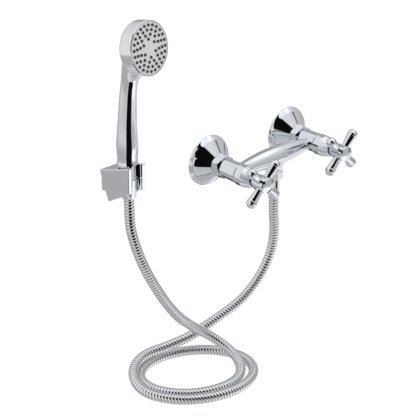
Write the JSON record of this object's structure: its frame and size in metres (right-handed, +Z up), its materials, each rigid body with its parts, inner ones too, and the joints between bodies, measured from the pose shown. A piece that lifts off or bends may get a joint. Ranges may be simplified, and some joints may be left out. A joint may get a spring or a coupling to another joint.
{
  "type": "wall shower mixer set",
  "caption": "Exposed wall shower mixer with cross handles, a ribbed metal hose lying in loops, a round-faced hand shower and a tilting wall holder.",
  "frame": {"origin": "on the wall surface, half way between the axes of the two wall inlets", "axes": "+Z up, +X to the right along the wall as seen from the room, +Y into the wall"},
  "size_m": [0.3914, 0.1701, 0.5212],
  "materials": {
    "chrome": "bright chrome plate on brass",
    "hose_steel": "polished stainless steel strip",
    "plated_plastic": "bright chrome plate on plastic",
    "satin_plate": "satin silver-grey plastic",
    "brass": "machined, unplated",
    "steel": "plain zinc-plated steel",
    "ceramic": "lapped white ceramic",
    "rubber": "matte black rubber",
    "fibre": "red-brown fibre washer",
    "inner_plastic": "moulded white plastic",
    "bare_plastic": "moulded grey plastic"
  },
  "bodies": {
    "mixer": {"hot_union": "brass", "hot_rose": "chrome", "hot_union_nut": "chrome", "hot_union_washer": "fibre", "hot_seat_seal": "rubber", "hot_headwork": "brass", "hot_fixed_disc": "ceramic", "hot_headwork_seal": "rubber", "hot_bonnet": "chrome", "cold_union": "brass", "cold_rose": "chrome", "cold_union_nut": "chrome", "cold_union_washer": "fibre", "cold_seat_seal": "rubber", "cold_headwork": "brass", "cold_fixed_disc": "ceramic", "cold_headwork_seal": "rubber", "cold_bonnet": "chrome", "mixer_body": "chrome", "hose_nut": "chrome", "hose_washer": "rubber", "hose_tail": "brass", "hose_ferrule": "chrome", "hose_drop": "hose_steel", "hose_coil": "hose_steel", "hose_rise": "hose_steel", "holder_base": "plated_plastic"},
    "hot_valve": {"hot_handle": "chrome", "hot_handle_screw": "steel", "hot_handle_cap": "chrome", "hot_spindle": "brass", "hot_moving_disc": "ceramic"},
    "cold_valve": {"cold_handle": "chrome", "cold_handle_screw": "steel", "cold_handle_cap": "chrome", "cold_spindle": "brass", "cold_moving_disc": "ceramic"},
    "holder": {"holder": "plated_plastic", "holder_pin": "steel", "holder_friction_washers": "bare_plastic"},
    "hose_end": {"cone_nut": "chrome", "shower_washer": "rubber", "shower_tail": "brass"},
    "hand_shower": {"shower_connector": "plated_plastic", "shower_shell": "plated_plastic", "shower_bezel": "plated_plastic", "shower_face_plate": "satin_plate", "shower_nozzle_mat": "rubber", "shower_spreader": "inner_plastic", "shower_face_seal": "rubber"}
  },
  "joints": [
    {"name": "hot_handle_turn", "type": "hinge", "parent": "mixer", "child": "hot_valve", "pos_m": [-0.075, -0.106, 0.005], "axis": [0, -1, 0], "range_deg": [0, 90]},
    {"name": "cold_handle_turn", "type": "hinge", "parent": "mixer", "child": "cold_valve", "pos_m": [0.075, -0.106, 0.005], "axis": [0, -1, 0], "range_deg": [0, 90]},
    {"name": "holder_tilt", "type": "hinge", "parent": "mixer", "child": "holder", "pos_m": [-0.252, -0.022, 0.032], "axis": [1, 0, 0], "range_deg": [0, 25], "deforming": ["hose_rise"]},
    {"name": "hose_end_lift", "type": "slide", "parent": "holder", "child": "hose_end", "axis": [0, 0, 1], "range_m": [0, 0.03], "deforming": ["hose_rise"]},
    {"name": "hand_shower_swivel", "type": "hinge", "parent": "hose_end", "child": "hand_shower", "pos_m": [-0.252, -0.046, 0.049], "axis": [0, 0, 1], "range_deg": [-90, 90]}
  ]
}
